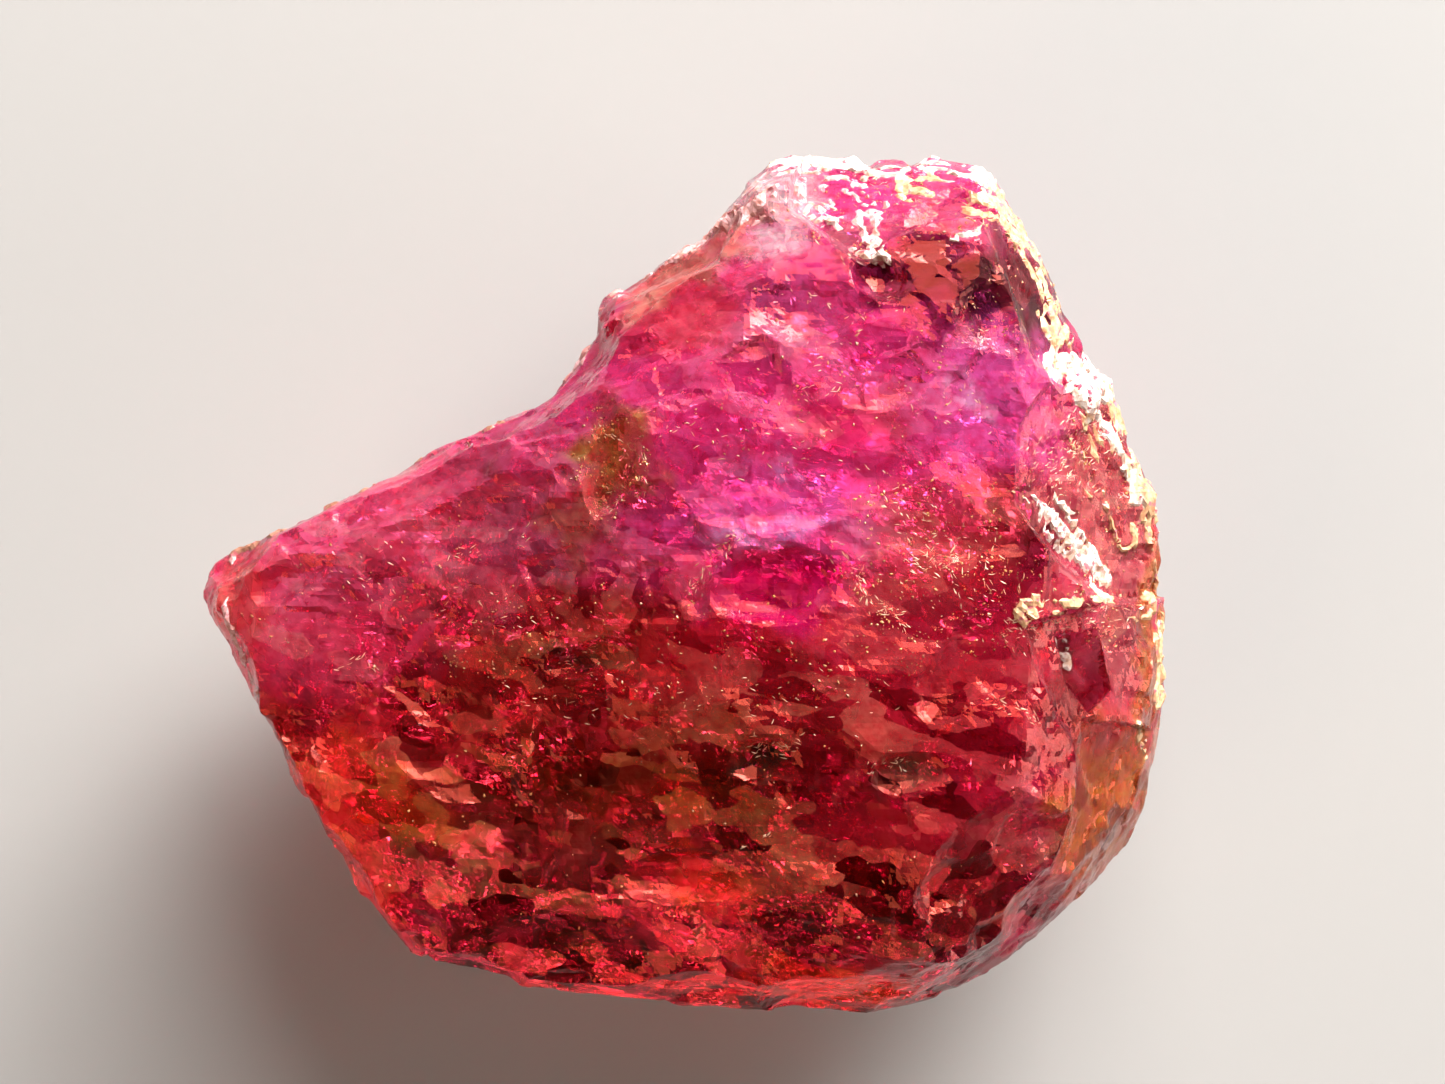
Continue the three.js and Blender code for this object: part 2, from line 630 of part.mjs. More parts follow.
function crystalSolid() {
  let solid = cutBroadFaces(blank());
  solid = cutBrokenWalls(solid, WALL_BOWLS, bowlOf);
  solid = cutBrokenWalls(solid, WALL_SLABS, slabOf);
  solid = cutBroken(solid, UNDER_BOWLS, bowlOf, -1);
  solid = cutBroken(solid, UNDER_SLABS, slabOf, -1);
  solid = cutBroken(solid, UPPER_BOWLS, bowlOf, 1);
  solid = cutBroken(solid, UPPER_SLABS, slabOf, 1);
  solid = cutSteps(solid);
  solid = cutScars(solid);
  solid = cutChips(solid);
  const pieces = solid.decompose().sort((a, b) => b.volume() - a.volume());
  return pieces[0];
}

// ---- The part ----------------------------------------------------------------------------------------------

function crystal() {
  const material = new THREE.MeshStandardMaterial({ color: 0xa3123f, roughness: 0.28, metalness: 0 });
  const mesh = new THREE.Mesh(geometryFrom(crystalSolid()), material);
  mesh.name = "crystal";
  return mesh;
}

const part = new THREE.Group();
part.add(crystal());

export default part;
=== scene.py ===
"""Rough alexandrite crystal, seen from straight above as it lies on its broad flat break."""
import math
import random
from typing import NamedTuple

import bpy
import numpy as np
from mathutils import Matrix, Vector, noise
from mathutils.bvhtree import BVHTree


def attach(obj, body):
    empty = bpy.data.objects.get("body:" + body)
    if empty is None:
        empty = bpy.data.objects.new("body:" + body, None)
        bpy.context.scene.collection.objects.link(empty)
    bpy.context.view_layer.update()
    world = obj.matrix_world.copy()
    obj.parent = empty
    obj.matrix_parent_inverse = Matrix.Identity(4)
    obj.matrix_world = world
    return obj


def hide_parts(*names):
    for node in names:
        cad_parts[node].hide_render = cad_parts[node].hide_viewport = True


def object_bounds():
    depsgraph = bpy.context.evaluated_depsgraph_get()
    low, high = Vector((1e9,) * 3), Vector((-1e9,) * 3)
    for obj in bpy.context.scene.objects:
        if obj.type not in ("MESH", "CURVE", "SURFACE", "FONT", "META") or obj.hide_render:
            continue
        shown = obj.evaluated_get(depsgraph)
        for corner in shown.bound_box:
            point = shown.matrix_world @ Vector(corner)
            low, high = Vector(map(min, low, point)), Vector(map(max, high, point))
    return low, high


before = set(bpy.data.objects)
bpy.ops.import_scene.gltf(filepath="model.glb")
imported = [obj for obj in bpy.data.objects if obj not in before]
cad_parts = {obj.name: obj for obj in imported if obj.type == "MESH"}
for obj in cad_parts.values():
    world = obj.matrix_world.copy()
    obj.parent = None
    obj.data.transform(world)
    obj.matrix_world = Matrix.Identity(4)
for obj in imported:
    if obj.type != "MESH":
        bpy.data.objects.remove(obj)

cad_low, cad_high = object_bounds()

# ---- Sizes and places --------------------------------------------------------------------------------

MM = 0.001
PHOTO_WIDTH, PHOTO_HEIGHT = 1445, 1084
PIXELS_PER_MM = 60.0
PIXEL = MM / PIXELS_PER_MM
ORIGIN_PIXEL = (685.5, 580.0)  # where the stone's origin lies in the photograph
GIRDLE_HEIGHT = 3.4 * MM  # about the height of the stone's outline, which the camera is framed on
ABOVE = 20 * MM  # well over the stone, to look straight down from

MESH_STEP = 0.094 * MM  # edge length of the worked mesh, which keeps the stone under 200,000 triangles
FLOOR_GAP = 0.03 * MM


def plan(px, py):
    """The plan point, in metres, under a pixel of the photograph."""
    return Vector((px - ORIGIN_PIXEL[0], ORIGIN_PIXEL[1] - py)) * PIXEL


# ---- Meshes as numbers -------------------------------------------------------------------------------


def vectors_of(items, name):
    """One row of three numbers for each mesh item."""
    found = np.empty(len(items) * 3)
    items.foreach_get(name, found)
    return found.reshape(-1, 3)


def noise_at(points, size, seed, octaves=2):
    """Smooth noise, about -1 to 1, with lumps of the given size, at each point."""
    shift = Vector((17.3 * seed, 5.9 * seed, 31.7 * seed))
    return np.array([noise.fractal(Vector(p) / size + shift, 0.7, 2.0, octaves) for p in points])


def object_of(name, points, faces):
    mesh = bpy.data.meshes.new(name)
    mesh.from_pydata([tuple(p) for p in points], [], faces)
    made = bpy.data.objects.new(name, mesh)
    bpy.context.scene.collection.objects.link(made)
    return made


def tree_of(mesh):
    return BVHTree.FromPolygons([v.co for v in mesh.vertices], [p.vertices for p in mesh.polygons])


def set_colours(mesh, name, colours):
    layer = mesh.color_attributes.new(name, "FLOAT_COLOR", "POINT")
    rows = np.ones((len(mesh.vertices), 4))
    rows[:, :3] = colours
    layer.data.foreach_set("color", rows.ravel())


def set_numbers(mesh, name, numbers):
    layer = mesh.attributes.new(name, "FLOAT", "POINT")
    layer.data.foreach_set("value", np.asarray(numbers, dtype=float))


def share_in(points, at, radii, turn, soft=0.5):
    """How far each point lies in an upright elliptical column: 1 in its middle and 0 outside."""
    away = (points[:, :2] - np.array(plan(*at))) / PIXEL
    angle = math.radians(turn)
    along = (away[:, 0] * math.cos(angle) + away[:, 1] * math.sin(angle)) / radii[0]
    across = (away[:, 1] * math.cos(angle) - away[:, 0] * math.sin(angle)) / radii[1]
    share = np.clip((1 + soft - np.hypot(along, across)) / (2 * soft), 0, 1)
    return share * share * (3 - 2 * share)


# ---- The stone's surface -----------------------------------------------------------------------------

# The broken surface comes in patches, each flat and tipped its own way, that step to the next. The patches
# are longer one way, because the crystal parts more easily along it.
RELIEF = [
    {"patch": 1.1 * MM, "tip": 0.13 * MM, "seed": 1},
    {"patch": 0.5 * MM, "tip": 0.10 * MM, "seed": 2},
    {"patch": 0.26 * MM, "tip": 0.03 * MM, "seed": 3},
]
PARTING_TURN = math.radians(-14)
PARTING_LONG = 1.7
RUGGED = {"at": (1105, 520), "radii": (70, 190), "turn": 4}  # here the patches stand out twice as far
FLAT_BELOW = 0.02 * MM  # vertices under this height belong to the resting face
REST_PATCH, REST_RELIEF = 0.9 * MM, 0.07 * MM
EVENING_ROUNDS = 1
EVENING_SHARE = 0.5
APART = [Vector((0, 0, 0)), Vector((31.4, 0, 0)), Vector((0, 57.1, 0))]  # places far apart in the noise


def patchwork(points, patch, tip, seed):
    """How far a surface of tipped patches stands out at each point."""
    turn = Matrix.Diagonal((1 / PARTING_LONG, 1, 1)) @ Matrix.Rotation(PARTING_TURN, 3, "Z") * (1 / patch)
    shift = Vector((3.1 * seed, 7.7 * seed, 1.3 * seed))
    heights = []
    for point in points:
        place = turn @ Vector(point) + shift
        nearest = noise.voronoi(place)[1][0]
        lean = Vector([noise.noise(nearest * 11.3 + apart) for apart in APART])
        heights.append(lean.dot(place - nearest))
    return tip * np.array(heights)


def evened(points, faces):
    """The points drawn towards their neighbours, which evens out the small stairs of the mesh."""
    pairs = np.array([pair for face in faces for pair in zip(face, face[1:] + face[:1])])
    count = np.bincount(pairs[:, 0], minlength=len(points))[:, None]
    for _ in range(EVENING_ROUNDS):
        total = np.zeros_like(points)
        np.add.at(total, pairs[:, 0], points[pairs[:, 1]])
        points = points + EVENING_SHARE * (total / np.maximum(count, 1) - points)
    return points


def worked_stone():
    """Points and faces of the CAD solid with an even, fine mesh and the small relief of broken crystal."""
    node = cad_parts["crystal"]
    helper = bpy.data.objects.new("helper", node.data.copy())
    bpy.context.scene.collection.objects.link(helper)
    longest = max(cad_high[i] - cad_low[i] for i in range(3))
    remesh = helper.modifiers.new("grain", "REMESH")
    remesh.mode = "SHARP"
    remesh.octree_depth = 8
    remesh.scale = longest / (MESH_STEP * 2**remesh.octree_depth)
    graph = bpy.context.evaluated_depsgraph_get()
    mesh = bpy.data.meshes.new_from_object(helper.evaluated_get(graph))
    bpy.data.objects.remove(helper)

    points = vectors_of(mesh.vertices, "co")
    normals = vectors_of(mesh.vertices, "normal")
    shift = sum(patchwork(points, **kind) for kind in RELIEF) * (1 + share_in(points, **RUGGED))
    resting = points[:, 2] < FLAT_BELOW
    raised = np.abs(patchwork(points[resting], REST_PATCH, REST_RELIEF, 4))
    shift -= np.abs(shift).mean()
    shift[resting] = 0
    points += normals * shift[:, None]
    points[resting, 2] += raised
    points[:, 2] = np.maximum(points[:, 2], 0)
    faces = [tuple(face.vertices) for face in mesh.polygons]
    bpy.data.meshes.remove(mesh)
    return evened(points, faces), faces


# ---- Colour from place to place ----------------------------------------------------------------------


class Region(NamedTuple):
    """A place where the crystal takes another tint, or where light or shade is painted into it: its middle
    and radii in photograph pixels and its turn in degrees, then the tint, how strong it is, and how softly it
    ends."""

    name: str
    at: tuple
    radii: tuple
    turn: float
    tint: tuple
    amount: float
    soft: float = 0.5


BASE_TINT = (1.0, 0.07, 0.34)
TINTS_AND_PAINTED_LIGHT = [
    Region("crimson belt", (640, 700), (430, 110), 0, (0.84, 0.02, 0.03), 0.9),
    # Darker towards the bottom; the butt's darkening is a painted shadow.
    Region("dark red lower half", (650, 870), (460, 170), -3, (0.125, 0.017, 0.0002), 0.95),
    Region("orange-brown butt", (720, 1008), (420, 62), -3, (0.036, 0.008, 0.0001), 0.95),
    Region("deep red lower right", (950, 900), (80, 50), 20, (0.1, 0.004, 0.002), 0.8),
    # Painted orange reflection along the lower left edge.
    Region("terracotta lower left edge", (318, 800), (170, 40), -62, (0.34, 0.034, 0.006), 0.9),
    Region("mauve left wing", (420, 560), (190, 85), 25, (0.84, 0.16, 0.3), 0.9),
    Region("crimson in the left wing", (390, 620), (110, 40), 20, (0.55, 0.03, 0.08), 0.8),
    Region("brown-red mid left", (560, 640), (120, 60), 12, (0.4, 0.03, 0.02), 0.8),
    Region("crimson right", (960, 620), (130, 110), 0, (0.6, 0.018, 0.05), 0.85),
    Region("dark crimson by the step", (1020, 520), (42, 62), -20, (0.16, 0.004, 0.014), 0.85),
    Region("deep magenta lower right", (920, 780), (130, 90), 20, (0.42, 0.005, 0.022), 0.8),
    Region("mauve dish", (790, 325), (66, 44), -14, (0.5, 0.08, 0.24), 0.8),
    Region("rosy upper left", (680, 320), (60, 40), 30, (0.95, 0.07, 0.1), 0.7),
    Region("crimson between the hollows", (914, 272), (40, 38), 0, (0.1, 0.002, 0.014), 0.95),
    # Painted shade in the upper right hollow.
    Region("dark hollow", (998, 302), (76, 68), 0, (0.03, 0.0008, 0.012), 1.0),
    Region("purple patch", (868, 280), (32, 26), 30, (0.16, 0.01, 0.05), 0.95),
    Region("purple prism", (846, 240), (14, 22), 20, (0.3, 0.06, 0.13), 0.8),
    Region("purple below the hollows", (930, 338), (38, 24), 20, (0.3, 0.02, 0.09), 0.8),
    Region("pale shoulder", (762, 206), (52, 46), 45, (1.0, 0.85, 0.92), 0.95),
    Region("salmon edge", (690, 268), (90, 20), 36, (1.0, 0.36, 0.26), 0.85),
    # Painted glow over the eye scar and on the right, and painted violet glints.
    Region("glow over the eye scar", (790, 520), (110, 42), -8, (1.0, 0.11, 0.52), 0.9),
    Region("right glow", (975, 400), (70, 60), 30, (1.0, 0.17, 0.62), 0.85),
    Region("violet glints", (966, 396), (24, 9), -55, (1.0, 0.62, 1.0), 0.8),
    Region("middle dark magenta", (860, 420), (60, 30), 0, (0.6, 0.02, 0.1), 0.7),
    Region("eye-shaped scar", (778, 588), (76, 40), 5, (0.9, 0.008, 0.17), 1.0, 0.25),
    # Painted violet highlights over the eye scar and above it.
    Region("violet band over the eye scar", (775, 534), (66, 9), 4, (1.0, 0.42, 1.0), 0.8),
    Region("violet streak above it", (781, 470), (24, 6), -60, (1.0, 0.42, 1.0), 0.6),
    Region("brown stain", (618, 455), (30, 55), 14, (0.56, 0.25, 0.05), 0.95),
    Region("stain below", (585, 520), (34, 40), -30, (0.58, 0.17, 0.06), 0.7),
    Region("rusty veil right of the eye", (925, 540), (80, 60), 20, (0.8, 0.12, 0.1), 0.6),
    Region("left tip", (246, 600), (40, 50), 0, (0.76, 0.11, 0.08), 0.8),
    Region("brown steps", (1105, 500), (52, 110), 6, (0.62, 0.16, 0.15), 0.9),
    Region("rosy ledge", (1120, 640), (40, 50), 0, (0.42, 0.13, 0.12), 0.85),
    Region("dark facet over the lip", (1060, 706), (26, 64), 0, (0.2, 0.016, 0.02), 0.85),
    Region("honey lip", (1110, 808), (52, 104), -14, (0.52, 0.2, 0.006), 0.95),
    Region("golden rim", (1152, 640), (15, 130), -2, (0.62, 0.25, 0.05), 0.9),
    # Painted orange reflections in the lower half.
    Region("orange window", (352, 742), (30, 26), 30, (0.8, 0.07, 0.028), 0.9),
    Region("orange lower left", (395, 800), (60, 34), -30, (0.55, 0.045, 0.006), 0.75),
    Region("orange shard", (705, 880), (60, 22), -24, (0.7, 0.05, 0.016), 0.85),
    Region("orange foot", (830, 985), (80, 24), 0, (0.5, 0.05, 0.004), 0.85),
    # Painted shade in two pits and a cleft.
    Region("black spot", (900, 772), (28, 15), 14, (0.02, 0.02, 0.025), 0.95),
    Region("green-black spot", (775, 755), (26, 15), 12, (0.05, 0.05, 0.03), 0.9),
    Region("dark cleft", (578, 658), (44, 12), 14, (0.07, 0.02, 0.02), 0.9),
]
EDGE_SIZE, EDGE_REACH = 0.7 * MM, 0.42 * MM  # how the edges of those places wander
TINT_PATCH = 0.3 * MM
TINT_STEP = 0.10  # how much the tint changes from one small patch of crystal to the next
FLAKY = {"at": (640, 880), "radii": (540, 230), "turn": -3}  # here the shards' tints differ most
FLAKY_LEAST = 0.4  # how much they differ elsewhere, as a share of that
FLAKY_EDGE_SIZE, FLAKY_EDGE_REACH = 1.5 * MM, 0.5 * MM
FROST_SIZE = 1.1 * MM
FROST_MEAN, FROST_SWING = 0.12, 0.34  # the roughness, and how far it goes up and down from place to place
FROST_RANGE = (0.03, 0.36)
CRACK_FROST = 0.06


def tints_and_painted_light_at(points):
    """The colour that light takes on where it goes in or out of the stone, with painted light and shade in
    some places.
    """
    ragged = points.copy()
    for axis in range(2):
        ragged[:, axis] += EDGE_REACH * noise_at(points, EDGE_SIZE, 3 + axis, 3)
    tints = np.tile(BASE_TINT, (len(points), 1))
    for region in TINTS_AND_PAINTED_LIGHT:
        share = region.amount * share_in(ragged, region.at, region.radii, region.turn, region.soft)
        tints += (np.array(region.tint) - tints) * share[:, None]
    return tints * (1 + TINT_STEP * noise_at(points, TINT_PATCH, 9, 3))[:, None]


def flaky_at(points):
    """How much the tint changes from shard to shard: most in the lower half."""
    ragged = points + FLAKY_EDGE_REACH * noise_at(points, FLAKY_EDGE_SIZE, 8, 2)[:, None]
    return FLAKY_LEAST + (1 - FLAKY_LEAST) * share_in(ragged, **FLAKY)


def frost_at(points):
    """How matt the surface is, from clear breaks to crushed ones."""
    return np.clip(FROST_MEAN + FROST_SWING * noise_at(points, FROST_SIZE, 6, 4), *FROST_RANGE)


# ---- Cracks ------------------------------------------------------------------------------------------

# Each family of cracks: how many, the half lengths in millimetres, how much narrower than long they are, the
# tilt from level and the side that the upper face looks to, in degrees, the plan box that they lie in, in
# pixels, and the tints, of which one is drawn for each crack.
CLEAR = (1.0, 0.90, 0.96)
# ORANGE is a painted orange reflection in the flakes of the lower half; the lamp light the cracks reflect is
# real.
ORANGE = (0.95, 0.30, 0.06)
WINE = (0.20, 0.01, 0.015)
ROSE = (0.95, 0.55, 0.55)
CRACKS = [
    {
        "name": "flakes of the lower half",
        "count": 120,
        "reach": (0.14, 0.55),
        "narrow": 0.42,
        "tilt": (30, 65),
        "looks": (30, 150),
        "box": (320, 690, 1040, 985),
        "tints": (ORANGE, ORANGE, WINE, WINE),
    },
    {
        "name": "flakes that look the other way",
        "count": 80,
        "reach": (0.14, 0.55),
        "narrow": 0.42,
        "tilt": (25, 60),
        "looks": (180, 360),
        "box": (320, 650, 1040, 985),
        "tints": (ORANGE, WINE, WINE),
    },
    {
        "name": "veils of the upper block",
        "count": 80,
        "reach": (0.14, 0.7),
        "narrow": 0.22,
        "tilt": (30, 55),
        "looks": (20, 110),
        "box": (600, 230, 1080, 640),
        "tints": (CLEAR,),
    },
    {
        "name": "glow of the middle",
        "count": 64,
        "reach": (0.25, 0.9),
        "narrow": 0.3,
        "tilt": (38, 52),
        "looks": (35, 85),
        "box": (660, 370, 1050, 580),
        "tints": (CLEAR,),
    },
    {
        "name": "veils of the left wing",
        "count": 50,
        "reach": (0.14, 0.6),
        "narrow": 0.24,
        "tilt": (25, 55),
        "looks": (40, 200),
        "box": (240, 450, 700, 720),
        "tints": (CLEAR, ROSE),
    },
]
CRACK_OPENING = 0.014 * MM
CRACK_COVER = 0.3 * MM  # the least depth of crystal over a small crack
COVER_SHARE = 0.9  # and what is added for a large one, as a share of its half length
CRACK_HEIGHTS = (0.7 * MM, 6.4 * MM)
CRACK_APART = 0.45  # the least distance of two cracks, as a share of their half lengths together
CRACK_TRIES = 60  # how often a place is looked for, for each crack wanted
CRACK_SPIN = 0.6  # the most that a crack is turned in its own plane, in radians
CRACK_SLIMMER = (0.7, 1.5)  # how its narrowness varies
CRACK_CORNERS = 9
CRACK_CORNER_REACH = (0.55, 1.15)  # shares of its half length
CRACK_RINGS = (0.45, 0.8, 1.0)  # the rings of corners, the last of which is its edge
RING_TWIST = 0.3  # how far the edge is turned past the middle, as a share of the step between corners
CRACK_WAVE, WAVES = 0.16, 1.6  # the height of its waves as a share of its half length, and how close they are
CRACK_RIPPLE, RIPPLES = 0.03, 6
CRACK_EDGE_GAP = 0.12  # half of how far it is open along its edge, as a share of its opening


def crack_shell(middle, axes, reach, narrow, rng):
    """A thin, closed, wavy void, wound so that its faces look into the void. Returns its points and faces."""
    around, shares = CRACK_CORNERS, CRACK_RINGS
    reaches = [rng.uniform(*CRACK_CORNER_REACH) for _ in range(around)]
    wave = Vector([rng.uniform(-50, 50) for _ in range(3)])
    rows = [[(0.0, 0.0)]]
    for share in shares:
        angles = [2 * math.pi * (i + RING_TWIST * share) / around for i in range(around)]
        rows.append(
            [(share * r * math.cos(a), share * r * narrow * math.sin(a)) for r, a in zip(reaches, angles)]
        )

    def point(u, v, side, is_edge):
        lift = CRACK_WAVE * noise.noise(Vector((u * WAVES, v * WAVES, 0)) + wave) * reach
        lift += CRACK_RIPPLE * noise.noise(Vector((u * RIPPLES, v * RIPPLES, 3)) + wave) * reach
        gap = side * CRACK_OPENING * (CRACK_EDGE_GAP if is_edge else 0.5)
        return middle + axes @ Vector((u * reach, v * reach, lift + gap))

    points, faces = [], []
    per_side = 1 + around * len(shares)
    for start, side in ((0, 1), (per_side, -1)):
        for r, row in enumerate(rows):
            points += [point(u, v, side, r == len(shares)) for u, v in row]
        for i in range(around):
            j = (i + 1) % around
            triangles = [(start, start + 1 + i, start + 1 + j)]
            for ring in range(len(shares) - 1):
                a, b = start + 1 + ring * around + i, start + 1 + ring * around + j
                triangles += [(a, a + around, b + around), (a, b + around, b)]
            faces += [t[::-1] if side > 0 else t for t in triangles]
    last = per_side - around
    for i in range(around):
        j = (i + 1) % around
        top_i, top_j, low_i, low_j = last + i, last + j, per_side + last + i, per_side + last + j
        faces += [(top_i, top_j, low_j), (top_i, low_j, low_i)]
    return points, faces


def axes_looking(tilt, looks, spin):
    """Axes whose third is tipped by tilt from straight up, towards the side that looks gives."""
    up = Vector((math.sin(tilt) * math.cos(looks), math.sin(tilt) * math.sin(looks), math.cos(tilt)))
    along = up.cross(Vector((math.cos(looks), math.sin(looks), 0))).normalized()
    return Matrix((along, up.cross(along), up)).transposed() @ Matrix.Rotation(spin, 3, "Z")


def cracks_in(tree):
    """Points, faces and tints of the cracks. They are voids in the stone, so they go into its own mesh."""
    rng = random.Random(21)

    def depth_of(point):
        place, normal, _, distance = tree.find_nearest(point)
        return distance if (point - place).dot(normal) < 0 else -distance

    points, faces, tints, taken = [], [], [], []
    for family in CRACKS:
        left, top, right, bottom = family["box"]
        low, high = plan(left, bottom), plan(right, top)
        shortest, longest = family["reach"]
        made = tries = 0
        while made < family["count"] and tries < family["count"] * CRACK_TRIES:
            tries += 1
            reach = (shortest + (longest - shortest) * rng.random() ** 2) * MM
            middle = Vector(
                (rng.uniform(low.x, high.x), rng.uniform(low.y, high.y), rng.uniform(*CRACK_HEIGHTS))
            )
            if depth_of(middle) < CRACK_COVER + reach * COVER_SHARE:
                continue
            if any((middle - other).length < CRACK_APART * (reach + size) for other, size in taken):
                continue
            axes = axes_looking(
                math.radians(rng.uniform(*family["tilt"])),
                math.radians(rng.uniform(*family["looks"])),
                rng.uniform(-CRACK_SPIN, CRACK_SPIN),
            )
            narrow = family["narrow"] * rng.uniform(*CRACK_SLIMMER)
            shell, sides = crack_shell(middle, axes, reach, narrow, rng)
            if min(depth_of(p) for p in shell) < CRACK_COVER * 0.5:
                continue
            faces += [tuple(len(points) + k for k in side) for side in sides]
            points += shell
            tints += [rng.choice(family["tints"])] * len(shell)
            taken.append((middle, reach))
            made += 1
        print("cracks", family["name"], made)
    return points, faces, tints


def finished_stone():
    points, faces = worked_stone()
    outside = object_of("outside", points, faces)
    cracks, crack_faces, crack_tints = cracks_in(tree_of(outside.data))
    offset = len(points)
    stone = object_of(
        "stone",
        [*points, *cracks],
        faces + [tuple(offset + k for k in face) for face in crack_faces],
    )
    set_colours(stone.data, "tint", np.concatenate([tints_and_painted_light_at(points), np.array(crack_tints)]))
    set_numbers(stone.data, "frost", np.concatenate([frost_at(points), np.full(len(cracks), CRACK_FROST)]))
    set_numbers(stone.data, "flaky", np.concatenate([flaky_at(points), np.ones(len(cracks))]))
    triangles = sum(len(face.vertices) - 2 for face in stone.data.polygons)
    print("stone triangles", triangles, "of them in cracks", len(crack_faces))
    return stone, outside


# ---- Crust and grains --------------------------------------------------------------------------------

# Broken edges with a skin of crushed crystal: the line and the half width in pixels, how much of that band is
# covered (about -0.5 for a few flakes to 1 for nearly all of it), and the colour.
FROSTY = (0.54, 0.46, 0.41)
PINKISH = (0.56, 0.30, 0.31)
SANDY = (0.46, 0.29, 0.15)
EARTHY = (0.24, 0.10, 0.06)
CRUSTS = [
    {
        "name": "top crest",
        "line": [(778, 158), (800, 153), (840, 162), (880, 166), (935, 158), (985, 170), (998, 180)],
        "half": 20,
        "cover": 0.3,
        "colour": FROSTY,
    },
    {
        "name": "upper diagonal",
        "line": [(812, 212), (838, 228), (858, 248), (880, 264)],
        "half": 14,
        "cover": 0.25,
        "colour": FROSTY,
    },
    {
        "name": "upper fork",
        "line": [(850, 185), (862, 215), (872, 245)],
        "half": 18,
        "cover": 0.0,
        "colour": PINKISH,
    },
    {
        "name": "top streak",
        "line": [(905, 190), (940, 198), (991, 213)],
        "half": 20,
        "cover": 0.15,
        "colour": SANDY,
    },
    {
        "name": "small streak",
        "line": [(948, 244), (974, 236)],
        "half": 5,
        "cover": 0.5,
        "colour": FROSTY,
    },
    {
        "name": "upper right rim",
        "line": [(992, 180), (1012, 225), (1036, 272), (1056, 330), (1062, 362)],
        "half": 18,
        "cover": 0.25,
        "colour": SANDY,
    },
    {
        "name": "white knuckle",
        "line": [(1060, 362), (1080, 378), (1108, 388)],
        "half": 20,
        "cover": 0.8,
        "colour": FROSTY,
    },
    {
        "name": "right rim",
        "line": [(1108, 388), (1126, 440), (1148, 490), (1160, 560), (1163, 640), (1158, 700)],
        "half": 12,
        "cover": 0.4,
        "colour": SANDY,
    },
    {
        "name": "inside the right rim",
        "line": [(1076, 400), (1100, 420), (1122, 455), (1136, 500)],
        "half": 11,
        "cover": 0.1,
        "colour": FROSTY,
    },
    {
        "name": "right flank",
        "line": [(1085, 420), (1105, 470), (1125, 540)],
        "half": 34,
        "cover": -0.3,
        "colour": SANDY,
    },
    {
        "name": "step edge",
        "line": [(1029, 497), (1046, 515), (1066, 541), (1090, 562), (1103, 581)],
        "half": 15,
        "cover": 0.7,
        "colour": FROSTY,
    },
    {
        "name": "flaky ledge",
        "line": [(1026, 612), (1060, 602), (1085, 597), (1144, 606)],
        "half": 20,
        "cover": -0.15,
        "colour": SANDY,
    },
    {
        "name": "hollow edge",
        "line": [(1049, 630), (1058, 648), (1066, 668)],
        "half": 6,
        "cover": 0.3,
        "colour": FROSTY,
    },
    {
        "name": "upper left bevel",
        "line": [(552, 395), (590, 345), (603, 302), (650, 272), (702, 240), (728, 208)],
        "half": 7,
        "cover": -0.1,
        "colour": PINKISH,
    },
    {
        "name": "left edge",
        "line": [(232, 556), (300, 520), (400, 470), (500, 425), (545, 402)],
        "half": 5,
        "cover": -0.1,
        "colour": EARTHY,
    },
    {
        "name": "left tip",
        "line": [(234, 556), (228, 600), (240, 640), (262, 692)],
        "half": 5,
        "cover": -0.1,
        "colour": PINKISH,
    },
    {
        "name": "shoulder frost",
        "line": [(735, 226), (775, 192), (830, 186), (872, 205)],
        "half": 26,
        "cover": -0.15,
        "colour": PINKISH,
    },
    {
        "name": "lip edge",
        "line": [(1131, 712), (1140, 735), (1147, 756)],
        "half": 6,
        "cover": 0.3,
        "colour": SANDY,
    },
]
CRUST_RAGGED = 1.6  # how far noise sways what is covered
CRUST_LUMP_SIZE = 0.16 * MM
CRUST_HEIGHT = 0.035 * MM
CRUST_DEPTH = 0.05 * MM
CRUST_SUNK = 0.03 * MM  # how far its edge dives under the stone's surface
CRUST_CLEAR = -5.0  # how thick it counts as, far from every band
CRUST_STREAK = (0.50 * MM, 0.11 * MM)  # how long and wide its flakes are, along and across the edge
CRUST_REACH = 1.8  # how far off the line it can still lie, in half widths
CRUST_STEEP = 3  # how fast it gets to its full height from its edge
CRUST_LUMP_HEIGHTS = (0.6, 1.2)  # its height in the dips of its lumps, and what the lumps add


def places_along(line, places):
    """How far each plan point lies along a line through plan points, and how far beside it."""
    along = np.zeros(len(places))
    beside = np.full(len(places), 1.0)
    done = 0.0
    for start, end in zip(line, line[1:]):
        way = np.array(end - start)
        length = np.linalg.norm(way)
        away = places - np.array(start)
        share = np.clip(away @ way / length**2, 0, 1)
        distance = np.linalg.norm(away - share[:, None] * way, axis=1)
        nearer = distance < beside
        along[nearer] = done + share[nearer] * length
        beside = np.minimum(beside, distance)
        done += length
    return along, beside


def crust_over(points, normals):
    """How thick the crust is at each point, in shares of its height and below 0 for none, and its colour."""
    found = np.full(len(points), CRUST_CLEAR)
    colours = np.tile(FROSTY, (len(points), 1))
    for number, crust in enumerate(CRUSTS):
        along, beside = places_along([plan(*pixel) for pixel in crust["line"]], points[:, :2])
        away = beside / (crust["half"] * PIXEL)
        near = (away < CRUST_REACH) & (normals[:, 2] > 0)
        long, wide = CRUST_STREAK
        places = np.stack([along[near] / long, beside[near] / wide, points[near, 2] / MM], axis=1)
        thick = crust["cover"] - away[near] ** 2 + CRUST_RAGGED * noise_at(places, 1.0, 12 + number, 3)
        thicker = thick > found[near]
        found[near] = np.maximum(found[near], thick)
        colours[np.flatnonzero(near)[thicker]] = crust["colour"]
    return found, colours


